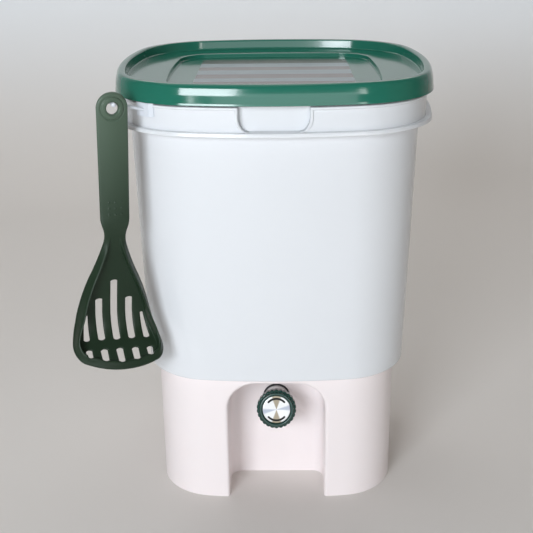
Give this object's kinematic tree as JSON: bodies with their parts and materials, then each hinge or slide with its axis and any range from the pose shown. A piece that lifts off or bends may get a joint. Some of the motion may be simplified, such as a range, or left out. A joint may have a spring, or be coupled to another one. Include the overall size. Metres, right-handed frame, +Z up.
{
  "type": "bokashi bin",
  "caption": "Kitchen bokashi composting bin: white bucket with finger windows on an arched base with a drain tap, green lid, strainer plate and a slotted scoop hanging from a hook.",
  "frame": {"origin": "On the floor under the bin's upright axis, at the middle of the square foot of the base", "axes": "X to the right and Y to the back as seen by a user who faces the tap, Z up"},
  "size_m": [0.3203, 0.3084, 0.4],
  "materials": {
    "base_plastic": "warm white polypropylene, satin",
    "bucket_plastic": "cool white polypropylene, satin",
    "lid_plastic": "deep green polypropylene, glossy",
    "label_film": "thin glossy film",
    "seal_rubber": "soft black rubber",
    "tap_plastic": "black polypropylene",
    "valve_plastic": "natural acetal",
    "bonnet_steel": "bright turned steel",
    "knob_plastic": "very dark green plastic",
    "screw_steel": "plain steel",
    "disc_aluminium": "spun aluminium with printed marks",
    "scoop_plastic": "dark green polypropylene, satin",
    "hook_plastic": "cool white polypropylene, satin"
  },
  "bodies": {
    "bin": {"base": "base_plastic", "base_seal": "seal_rubber", "bucket": "bucket_plastic", "spigot_body": "tap_plastic", "spigot_trim": "bonnet_steel", "spigot_washer_outer": "seal_rubber", "spigot_washer_inner": "seal_rubber", "spigot_nut": "tap_plastic", "bonnet": "bonnet_steel", "scoop_hook": "hook_plastic"},
    "lid_set": {"lid": "lid_plastic", "lid_gasket": "seal_rubber", "lid_label": "label_film"},
    "strainer": {"strainer_plate": "bucket_plastic"},
    "tap": {"valve_plug": "valve_plastic", "plug_ring_rear": "seal_rubber", "plug_ring_front": "seal_rubber", "knob": "knob_plastic", "knob_screw": "screw_steel", "knob_face_disc": "disc_aluminium"},
    "hanging_scoop": {"scoop": "scoop_plastic"}
  },
  "joints": [
    {"name": "lid_lift", "type": "slide", "parent": "bin", "child": "lid_set", "axis": [0, 0, 1], "range_m": [0, 0.25]},
    {"name": "strainer_lift", "type": "slide", "parent": "bin", "child": "strainer", "axis": [0, 0, 1], "range_m": [0, 0.23]},
    {"name": "tap_turn", "type": "hinge", "parent": "bin", "child": "tap", "pos_m": [0, -0.10017, 0.08969], "axis": [0, -0.9659, 0.2588], "range_deg": [0, 90]},
    {"name": "scoop_swing", "type": "hinge", "parent": "bin", "child": "hanging_scoop", "pos_m": [-0.1306, -0.136, 0.38498], "axis": [-0.4226, 0.9063, 0], "range_deg": [0, 80]}
  ]
}
